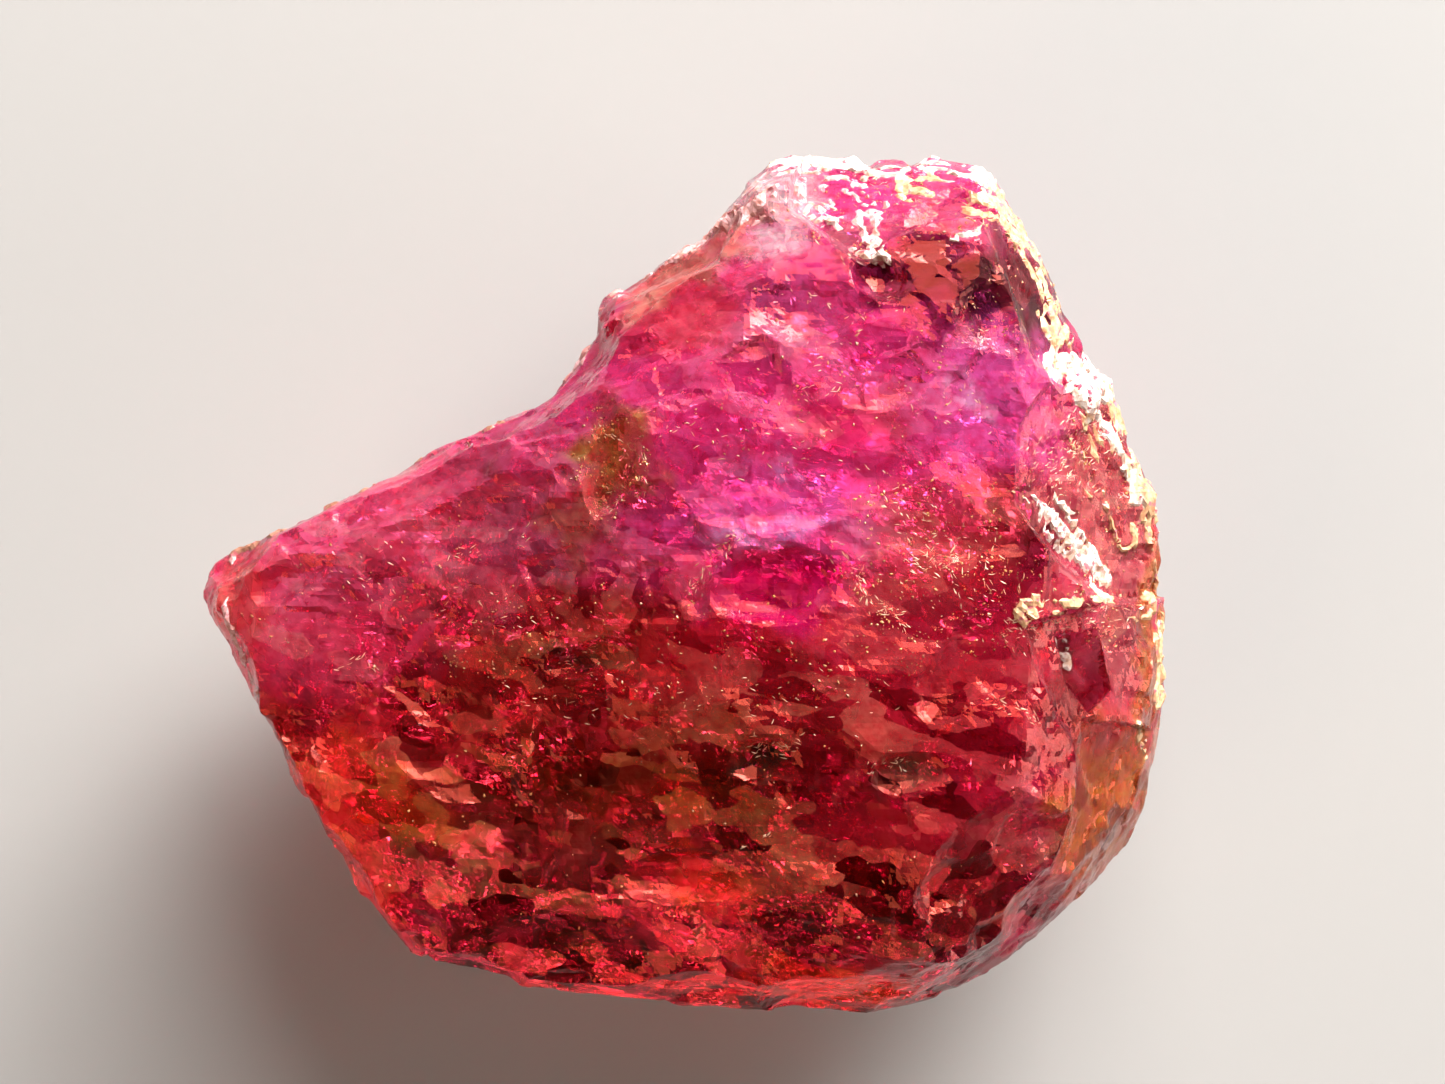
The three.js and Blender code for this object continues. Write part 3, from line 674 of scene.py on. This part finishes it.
def crust_on(mesh):
    """A pale, flaky skin over the stone's broken edges, whose own edge dives under the stone's surface."""
    points, normals = vectors_of(mesh.vertices, "co"), vectors_of(mesh.vertices, "normal")
    thickness, colours = crust_over(points, normals)
    chosen = [tuple(f.vertices) for f in mesh.polygons if max(thickness[v] for v in f.vertices) > 0]
    used = sorted({v for face in chosen for v in face})
    number = {v: i for i, v in enumerate(used)}
    sides = {pair for face in chosen for pair in zip(face, face[1:] + face[:1])}
    rim = [(a, b) for a, b in sides if (b, a) not in sides]

    thick = thickness[used]
    lowest, added = CRUST_LUMP_HEIGHTS
    lumps = lowest + added * np.abs(noise_at(points[used], CRUST_LUMP_SIZE, 13, 2))
    risen = CRUST_HEIGHT * np.minimum(thick * CRUST_STEEP, 1) * lumps
    lift = np.where(thick > 0, risen, CRUST_SUNK * np.maximum(thick * CRUST_STEEP, -1))
    outer = points[used] + normals[used] * lift[:, None]
    inner = points[used] - normals[used] * CRUST_DEPTH
    count = len(used)
    faces = [tuple(number[v] for v in face) for face in chosen]
    faces += [tuple(count + number[v] for v in reversed(face)) for face in chosen]
    faces += [(number[b], number[a], count + number[a], count + number[b]) for a, b in rim]
    print("crust faces", len(faces))
    crust = object_of("crust", [*outer, *inner], faces)
    set_colours(crust.data, "tint", np.concatenate([colours[used], colours[used]]))
    return crust


# Where golden grains gather, as pixels: the middle, the radii and how many.
GRAINS = [
    {"name": "dark hollow", "at": (996, 308), "radii": (48, 48), "count": 90},
    {"name": "middle right", "at": (940, 560), "radii": (110, 100), "count": 620},
    {"name": "upper block", "at": (800, 380), "radii": (170, 90), "count": 260},
    {"name": "brown stain", "at": (612, 460), "radii": (40, 62), "count": 280},
    {"name": "left wing", "at": (430, 590), "radii": (190, 90), "count": 200},
    {"name": "middle", "at": (680, 650), "radii": (250, 60), "count": 300},
    {"name": "lower half", "at": (680, 830), "radii": (330, 120), "count": 200},
    {"name": "right steps", "at": (1100, 520), "radii": (50, 130), "count": 520},
    {"name": "top", "at": (890, 210), "radii": (110, 50), "count": 320},
]


class Trail(NamedTuple):
    """Fine pale scratches, some of them painted glints: the line that they follow and how far they stray from
    it, in pixels, and their number."""

    name: str
    line: list
    stray: float
    count: int


SCRATCHES_AND_GLINTS = [
    Trail("over the middle", [(640, 435), (700, 428), (760, 430), (806, 420)], 7, 18),
    Trail("upper block", [(800, 395), (818, 400), (850, 378)], 6, 10),
    Trail("left of the eye scar", [(738, 532), (712, 560), (690, 590)], 7, 54),
    Trail("right of the eye scar", [(832, 540), (852, 566), (866, 600), (900, 622)], 9, 66),
    Trail("right squiggle", [(900, 560), (925, 568), (945, 552)], 10, 40),
    # Painted glints along the cleft and the two pits.
    Trail("cleft edge", [(560, 664), (585, 648), (616, 646)], 5, 11),
    Trail("spot in the middle", [(742, 752), (765, 742), (795, 745)], 10, 34),
    Trail("by the black spot", [(862, 768), (885, 756), (908, 764)], 8, 24),
    Trail("lower right squiggle", [(984, 696), (1008, 702), (1030, 714)], 7, 24),
    Trail("needle", [(735, 845), (795, 815)], 2, 7),
    Trail("shell break rim", [(330, 700), (340, 668), (368, 655), (385, 672)], 5, 11),
    Trail("left scratch", [(452, 560), (500, 545), (540, 520)], 12, 14),
    Trail("stain edge", [(600, 430), (640, 452), (640, 490), (610, 505)], 8, 46),
    Trail("hollow rim", [(960, 300), (975, 340), (1005, 352)], 7, 12),
    Trail("dish rim", [(640, 300), (700, 275), (790, 285), (830, 330)], 12, 16),
    Trail("crossing", [(790, 400), (850, 335), (910, 300)], 14, 20),
    Trail("above the glow", [(700, 470), (790, 455), (880, 470)], 26, 24),
    Trail("right glow", [(900, 380), (950, 410), (1000, 430)], 22, 24),
    Trail("rusty veil", [(880, 500), (960, 560), (1010, 640)], 34, 110),
    Trail("left wing", [(330, 560), (420, 600), (520, 620)], 36, 60),
    Trail("belt", [(520, 700), (680, 690), (860, 700)], 36, 60),
    Trail("ledge", [(1000, 620), (1060, 612), (1140, 615)], 16, 120),
    Trail("flank", [(1040, 480), (1080, 440), (1120, 420)], 26, 300),
    Trail("top", [(850, 190), (920, 200), (990, 220)], 22, 90),
    Trail("shoulder", [(760, 180), (800, 220), (840, 260)], 18, 22),
]
SCRATCH_LENGTHS = (2, 8)  # pixels
SCRATCH_HALF_WIDTHS = (0.005, 0.006, 0.009)  # millimetres
SCRATCH_STEPS = 5
STEEPEST = 0.2  # the least rise of the normal where a scratch lies
SCRATCH_CURVE = 0.12  # the most that a scratch bends steadily at each step, in radians
SCRATCH_WANDER = 0.2  # and the most that it bends at random
SCRATCH_SPREAD = 0.6  # the usual distance from the line, as a share of the stray
SCRATCH_SWAY = 0.5  # how far the scratches usually turn from the line, in radians
GRAIN_SIZES = (0.006, 0.007, 0.008, 0.010, 0.013, 0.020)  # half widths in millimetres
GRAIN_VARIES = (0.8, 1.3)  # how those sizes vary
GRAIN_LONG = 1.8  # how many times longer than wide the longest grains are
GRAIN_STEEPEST = 0.15  # the least rise of the normal where a grain lies
GRAIN_BENT = 0.35  # how far each corner strays, as a share of the grain's half width
CLUSTER_SIZE = 0.4 * MM


def grain_places(rng):
    """Plan points of the golden grains, which cluster."""
    places = []
    for patch in GRAINS:
        wanted = len(places) + patch["count"]
        while len(places) < wanted:
            angle, share = rng.uniform(0, math.tau), math.sqrt(rng.random())
            x = patch["at"][0] + patch["radii"][0] * share * math.cos(angle)
            place = plan(x, patch["at"][1] + patch["radii"][1] * share * math.sin(angle))
            if noise.noise(place.to_3d() / CLUSTER_SIZE) > rng.uniform(-0.25, 0.5):
                places.append(place)
    return places


def top_under(tree, flat):
    """The place and the normal of the stone's upper side at a plan point."""
    place, normal, _, _ = tree.ray_cast(Vector((flat.x, flat.y, ABOVE)), Vector((0, 0, -1)))
    return place, normal


def scratch_along(tree, flat, heading, length, half_width, rng):
    """Points and faces of one thin, slightly bent sliver that hugs the upper side, or None past its edge."""
    points, faces = [], []
    curve = rng.uniform(-SCRATCH_CURVE, SCRATCH_CURVE)
    for step in range(SCRATCH_STEPS + 1):
        place, normal = top_under(tree, flat)
        if place is None or normal.z < STEEPEST:
            return None
        ahead = Vector((math.cos(heading), math.sin(heading), 0))
        side = normal.cross(ahead).normalized()
        half = half_width * (0.15 + 0.85 * math.sin(math.pi * (step + 0.2) / (SCRATCH_STEPS + 0.4)))
        points += [place + side * half, place + normal * half * 0.7]
        points += [place - side * half, place - normal * half]
        flat = flat + ahead.to_2d() * length / SCRATCH_STEPS
        heading += curve + rng.uniform(-SCRATCH_WANDER, SCRATCH_WANDER)
    for step in range(SCRATCH_STEPS):
        for i in range(4):
            a, b = 4 * step + i, 4 * step + (i + 1) % 4
            faces.append((a, b, b + 4, a + 4))
    last = len(points) - 4
    faces += [(3, 2, 1, 0), (last, last + 1, last + 2, last + 3)]
    return points, faces


def scratches_and_glints_on(tree, rng):
    points, faces = [], []
    for trail in SCRATCHES_AND_GLINTS:
        for _ in range(trail.count):
            step = rng.randrange(len(trail.line) - 1)
            start, end = plan(*trail.line[step]), plan(*trail.line[step + 1])
            stray = Vector((rng.gauss(0, 1), rng.gauss(0, 1))) * trail.stray * PIXEL * SCRATCH_SPREAD
            heading = math.atan2(end.y - start.y, end.x - start.x) + rng.gauss(0, SCRATCH_SWAY)
            made = scratch_along(
                tree,
                start.lerp(end, rng.random()) + stray,
                heading,
                rng.uniform(*SCRATCH_LENGTHS) * PIXEL,
                rng.choice(SCRATCH_HALF_WIDTHS) * MM,
                rng,
            )
            if made:
                faces += [tuple(len(points) + k for k in face) for face in made[1]]
                points += made[0]
    print("scratch faces", len(faces))
    return object_of("pale_scratches_and_painted_glints", points, faces)


def grains_on(tree, places, rng):
    """Small angular grains that are half sunk into the upper side."""
    points, faces = [], []
    shape = [(1, 0, 0), (0, 1, 0), (-1, 0, 0), (0, -1, 0), (0, 0, 0.9), (0, 0, -0.9)]
    for flat in places:
        place, normal = top_under(tree, flat)
        if place is None or normal.z < GRAIN_STEEPEST:
            continue
        size = rng.choice(GRAIN_SIZES) * MM * rng.uniform(*GRAIN_VARIES)
        turn = normal.to_track_quat("Z", "Y").to_matrix() @ Matrix.Rotation(rng.uniform(0, math.tau), 3, "Z")
        long = rng.uniform(1.0, GRAIN_LONG)
        start = len(points)
        for corner in shape:
            bent = Vector([c + rng.uniform(-GRAIN_BENT, GRAIN_BENT) for c in corner])
            points.append(place + turn @ Vector((bent.x * long, bent.y, bent.z)) * size)
        for i in range(4):
            j = (i + 1) % 4
            faces += [(start + i, start + j, start + 4), (start + j, start + i, start + 5)]
    print("grains", len(points) // len(shape))
    return object_of("golden_grains", points, faces)


# ---- Materials ---------------------------------------------------------------------------------------


def new_material(name):
    material = bpy.data.materials.new(name)
    material.use_nodes = True
    tree = material.node_tree
    tree.nodes.clear()
    output = tree.nodes.new("ShaderNodeOutputMaterial")
    shader = tree.nodes.new("ShaderNodeBsdfPrincipled")
    tree.links.new(shader.outputs["BSDF"], output.inputs["Surface"])
    return material, tree, shader, output


def own_place(tree):
    """The object's own places, in metres."""
    return tree.nodes.new("ShaderNodeTexCoord").outputs["Object"]


def attribute_of(tree, name, output):
    """What a mesh's own attribute says at each place, as a Color or a Fac."""
    node = tree.nodes.new("ShaderNodeAttribute")
    node.attribute_name = name
    return node.outputs[output]


def noise_of(tree, size, detail=2.0, roughness=0.5, place=None, output="Fac"):
    """A noise texture whose lumps are about size metres across."""
    node = tree.nodes.new("ShaderNodeTexNoise")
    node.inputs["Scale"].default_value = 1.0 / size
    node.inputs["Detail"].default_value = detail
    node.inputs["Roughness"].default_value = roughness
    tree.links.new(place or own_place(tree), node.inputs["Vector"])
    return node.outputs[output]


def combined(tree, operation, first, second=None, third=None):
    """What a vector operation makes of two or three vectors, of which the later ones may be plain numbers."""
    node = tree.nodes.new("ShaderNodeVectorMath")
    node.operation = operation
    for socket, value in zip(node.inputs, (first, second, third)):
        if isinstance(value, tuple):
            socket.default_value = value
        elif value is not None:
            tree.links.new(value, socket)
    return node.outputs["Vector"]


def parted_place(tree, turn, long, bend_size, bend):
    """The object's places, drawn together along one level direction, so that a texture over them gets longer
    that way, and bent a little by noise."""
    mapping = tree.nodes.new("ShaderNodeMapping")
    mapping.vector_type = "TEXTURE"
    mapping.inputs["Rotation"].default_value = (0, 0, turn)
    mapping.inputs["Scale"].default_value = (long, 1, 1)
    tree.links.new(own_place(tree), mapping.inputs["Vector"])
    wander = combined(tree, "SUBTRACT", noise_of(tree, bend_size, 1.0, output="Color"), (0.5, 0.5, 0.5))
    return combined(tree, "MULTIPLY_ADD", wander, (bend, bend, bend), mapping.outputs["Vector"])


def shards_of(tree, size, place):
    """Flat-sided cells about size metres across: a random number for each, and which way it leans."""
    node = tree.nodes.new("ShaderNodeTexVoronoi")
    node.distance = "MANHATTAN"
    node.inputs["Scale"].default_value = 1.0 / size
    tree.links.new(place, node.inputs["Vector"])
    split = tree.nodes.new("ShaderNodeSeparateColor")
    tree.links.new(node.outputs["Color"], split.inputs["Color"])
    return split.outputs["Green"], combined(tree, "SUBTRACT", node.outputs["Color"], (0.5, 0.5, 0.5))


def to_powers(tree, colour, powers):
    """A colour whose red, green and blue are each raised to a power: paler below 1, deeper above 1."""
    split = tree.nodes.new("ShaderNodeSeparateColor")
    joined = tree.nodes.new("ShaderNodeCombineColor")
    tree.links.new(colour, split.inputs["Color"])
    for channel, power in zip(("Red", "Green", "Blue"), powers):
        node = tree.nodes.new("ShaderNodeMath")
        node.operation = "POWER"
        tree.links.new(split.outputs[channel], node.inputs[0])
        node.inputs[1].default_value = power
        tree.links.new(node.outputs["Value"], joined.inputs[channel])
    return joined.outputs["Color"]


def ramp(tree, value, low, high, to_low=0.0, to_high=1.0):
    node = tree.nodes.new("ShaderNodeMapRange")
    for name, number in zip(("From Min", "From Max", "To Min", "To Max"), (low, high, to_low, to_high)):
        node.inputs[name].default_value = number
    tree.links.new(value, node.inputs["Value"])
    return node.outputs["Result"]


def mixed(tree, factor, first, second, blend="MIX"):
    node = tree.nodes.new("ShaderNodeMix")
    node.data_type = "RGBA"
    node.blend_type = blend
    for socket, value in ((node.inputs["Factor"], factor), (node.inputs[6], first), (node.inputs[7], second)):
        if isinstance(value, (int, float)):
            socket.default_value = value
        elif isinstance(value, tuple):
            socket.default_value = (*value, 1.0)
        else:
            tree.links.new(value, socket)
    return node.outputs[2]


def bumped(tree, shader, height, strength, distance):
    bump = tree.nodes.new("ShaderNodeBump")
    bump.inputs["Strength"].default_value = strength
    bump.inputs["Distance"].default_value = distance
    tree.links.new(height, bump.inputs["Height"])
    tree.links.new(bump.outputs["Normal"], shader.inputs["Normal"])


# The crystal's tint changes from shard to shard. Each has a random number from 0 to 1, which makes it deep,
# plain or pale.
SHARD_SIZE = 0.5 * MM
SHARD_LONG = 1.8  # how much longer the shards are along the crystal's parting
SHARD_BENDS = (0.45 * MM, 0.22 * MM)  # the size of the bends in their sides, and how far the bends reach
SHARD_LEAN = 0.17  # how far each shard's face leans away from the surface, at most about half of this
DEEP_BELOW = (0.08, 0.40)  # the numbers over which deep turns to plain
PALE_ABOVE = (0.55, 0.95)  # the numbers over which plain turns to pale
PALE_POWERS = (0.34, 0.46, 0.66)  # of red, green and blue in the tint of a pale shard
DEEP_POWERS = (1.35, 1.35, 1.35)  # and of a deep one
DEEP_SHADE = (0.30, 0.34, 0.36)
MOTTLE_SIZE = 0.16 * MM
MOTTLE_SHADE = (0.86, 0.38, 0.52)


def gem_material():
    """The crystal itself: plain see-through values, with tint, gloss and lean that change over it; in places
    the tint is painted light and shade.
    """
    material, tree, shader, output = new_material("alexandrite")
    shader.inputs["IOR"].default_value = 1.745
    shader.inputs["Transmission Weight"].default_value = 0.84
    shader.inputs["Specular Tint"].default_value = (0.50, 0.07, 0.04, 1)
    absorb = tree.nodes.new("ShaderNodeVolumeAbsorption")
    absorb.inputs["Color"].default_value = (0.99, 0.18, 0.56, 1)
    absorb.inputs["Density"].default_value = 170.0
    tree.links.new(absorb.outputs["Volume"], output.inputs["Volume"])

    plain = attribute_of(tree, "tint", "Color")
    parted = parted_place(tree, PARTING_TURN, SHARD_LONG, *SHARD_BENDS)
    which, lean = shards_of(tree, SHARD_SIZE, parted)
    pale = to_powers(tree, plain, PALE_POWERS)
    deep = mixed(tree, 1.0, to_powers(tree, plain, DEEP_POWERS), DEEP_SHADE, "MULTIPLY")
    colour = mixed(tree, ramp(tree, which, *DEEP_BELOW), deep, plain)
    colour = mixed(tree, ramp(tree, which, *PALE_ABOVE), colour, pale)
    colour = mixed(tree, attribute_of(tree, "flaky", "Fac"), plain, colour)
    mottle = ramp(tree, noise_of(tree, MOTTLE_SIZE, 3.0, 0.65), 0.34, 0.58)
    shade = mixed(tree, mottle, MOTTLE_SHADE, (1.0, 1.0, 1.0))
    colour = mixed(tree, 1.0, colour, shade, "MULTIPLY")
    tree.links.new(colour, shader.inputs["Base Color"])

    tree.links.new(attribute_of(tree, "frost", "Fac"), shader.inputs["Roughness"])
    facing = tree.nodes.new("ShaderNodeNewGeometry").outputs["Normal"]
    leaning = combined(tree, "MULTIPLY_ADD", lean, (SHARD_LEAN, SHARD_LEAN, SHARD_LEAN), facing)
    tree.links.new(combined(tree, "NORMALIZE", leaning), shader.inputs["Normal"])
    return material


CRUST_DIPS = (0.62, 0.42, 0.32)  # what its colour is multiplied by between its lumps
CRUST_STAINS = (0.34, 0.07, 0.09)


def crust_material():
    """Crushed, frosted crystal and pale mineral skin along the broken edges."""
    material, tree, shader, _ = new_material("pale_crust")
    lumps = noise_of(tree, 0.22 * MM, 4.0, 0.65)
    stains = noise_of(tree, 0.15 * MM, 3.0, 0.6)
    colour = mixed(tree, ramp(tree, lumps, 0.40, 0.58), CRUST_DIPS, (1.0, 1.0, 1.0))
    colour = mixed(tree, 1.0, attribute_of(tree, "tint", "Color"), colour, "MULTIPLY")
    colour = mixed(tree, ramp(tree, stains, 0.57, 0.64), colour, CRUST_STAINS)
    tree.links.new(colour, shader.inputs["Base Color"])
    tree.links.new(ramp(tree, lumps, 0.3, 0.7, 0.7, 0.35), shader.inputs["Roughness"])
    bumped(tree, shader, noise_of(tree, 0.07 * MM, 2.0, 0.6), 0.6, 0.02 * MM)
    return material


def grain_material(name, dark, light):
    """Mineral dirt that clings to the breaks, from dark to light grains."""
    material, tree, shader, _ = new_material(name)
    patches = noise_of(tree, 0.35 * MM, 2.0)
    tree.links.new(mixed(tree, ramp(tree, patches, 0.40, 0.60), dark, light), shader.inputs["Base Color"])
    tree.links.new(ramp(tree, patches, 0.3, 0.7, 0.5, 0.3), shader.inputs["Roughness"])
    return material


# ---- The setting -------------------------------------------------------------------------------------

LENS = 200.0  # in millimetres, as the sensor
SENSOR = 36.0
FLOOR_HALF = 0.6
OVERHEAD = (0.15, 0.75)  # the rise of the view over which the studio darkens
STUDIO_STRENGTH = (0.95, 0.05)  # below and above it
FRONT_SHARE = 0.35  # how bright its front is, set against its back
WHITE = (1.0, 0.97, 0.94)
WARM = (1.0, 0.72, 0.50)
LIGHTS = [
    {"name": "key", "at": (0.08, 0.17, 0.12), "size": 0.24, "watts": 1.45, "colour": WHITE},
    {"name": "low back light", "at": (0.12, 0.20, 0.045), "size": 0.18, "watts": 3.0, "colour": WHITE},
    {"name": "low right light", "at": (0.23, -0.02, 0.05), "size": 0.12, "watts": 0.3, "colour": WHITE},
    {"name": "warm fill", "at": (-0.16, -0.14, 0.12), "size": 0.14, "watts": 0.26, "colour": WARM},
]


def soft_light(name, at, size, watts, colour):
    data = bpy.data.lights.new(name, "AREA")
    data.shape = "DISK"
    data.size = size
    data.energy = watts
    data.color = colour
    light = bpy.data.objects.new(name, data)
    light.location = at
    light.rotation_euler = (Vector((0, 0, GIRDLE_HEIGHT)) - Vector(at)).to_track_quat("-Z", "Y").to_euler()
    bpy.context.scene.collection.objects.link(light)


def pale_floor():
    half = FLOOR_HALF
    corners = [(-half, -half, 0), (half, -half, 0), (half, half, 0), (-half, half, 0)]
    floor = object_of("floor", corners, [(0, 1, 2, 3)])
    floor.location.z = -FLOOR_GAP
    material, _, shader, _ = new_material("pale_floor")
    shader.inputs["Base Color"].default_value = (0.30, 0.296, 0.29, 1)
    shader.inputs["Roughness"].default_value = 0.9
    floor.data.materials.append(material)


def soft_world():
    """A studio bright at the back, dimmer in front and dark overhead, so that no break looks milky."""
    world = bpy.data.worlds.new("studio")
    world.use_nodes = True
    tree = world.node_tree
    place = tree.nodes.new("ShaderNodeTexCoord")
    split = tree.nodes.new("ShaderNodeSeparateXYZ")
    tree.links.new(place.outputs["Generated"], split.inputs["Vector"])
    share = tree.nodes.new("ShaderNodeMath")
    share.operation = "MULTIPLY"
    tree.links.new(ramp(tree, split.outputs["Z"], *OVERHEAD, *STUDIO_STRENGTH), share.inputs[0])
    tree.links.new(ramp(tree, split.outputs["Y"], -0.7, 0.7, FRONT_SHARE, 1.0), share.inputs[1])
    background = tree.nodes["Background"]
    background.inputs["Color"].default_value = (0.96, 0.95, 0.97, 1)
    tree.links.new(share.outputs["Value"], background.inputs["Strength"])
    bpy.context.scene.world = world


def camera_above():
    data = bpy.data.cameras.new("camera")
    data.lens = LENS
    data.sensor_width = SENSOR
    data.clip_start = 0.001
    camera = bpy.data.objects.new("camera", data)
    middle = plan(PHOTO_WIDTH / 2, PHOTO_HEIGHT / 2)
    distance = PHOTO_WIDTH * PIXEL * LENS / SENSOR
    camera.location = (middle.x, middle.y, GIRDLE_HEIGHT + distance)
    bpy.context.scene.collection.objects.link(camera)
    bpy.context.scene.camera = camera


def setting():
    pale_floor()
    soft_world()
    for light in LIGHTS:
        soft_light(**light)
    camera_above()
    scene = bpy.context.scene
    scene.view_settings.view_transform = "Standard"
    scene.cycles.max_bounces = 12
    scene.cycles.transmission_bounces = 12
    scene.cycles.adaptive_threshold = 0.07


# ---- Putting it together -----------------------------------------------------------------------------

stone, outside = finished_stone()
outer_tree = tree_of(outside.data)
crust = crust_on(outside.data)
scatter = random.Random(5)
golden = grains_on(outer_tree, grain_places(scatter), scatter)
scratches_and_glints = scratches_and_glints_on(outer_tree, scatter)
bpy.data.objects.remove(outside)

FINISHES = [
    (stone, gem_material()),
    (crust, crust_material()),
    (golden, grain_material("golden_dirt", (0.17, 0.05, 0.014), (0.44, 0.20, 0.065))),
    (scratches_and_glints, grain_material("pale_scratch_and_painted_glint", (0.34, 0.12, 0.06), (0.55, 0.37, 0.24))),
]
for piece, material in FINISHES:
    piece.data.materials.append(material)
    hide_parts("crystal")
    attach(piece, "root")

setting()
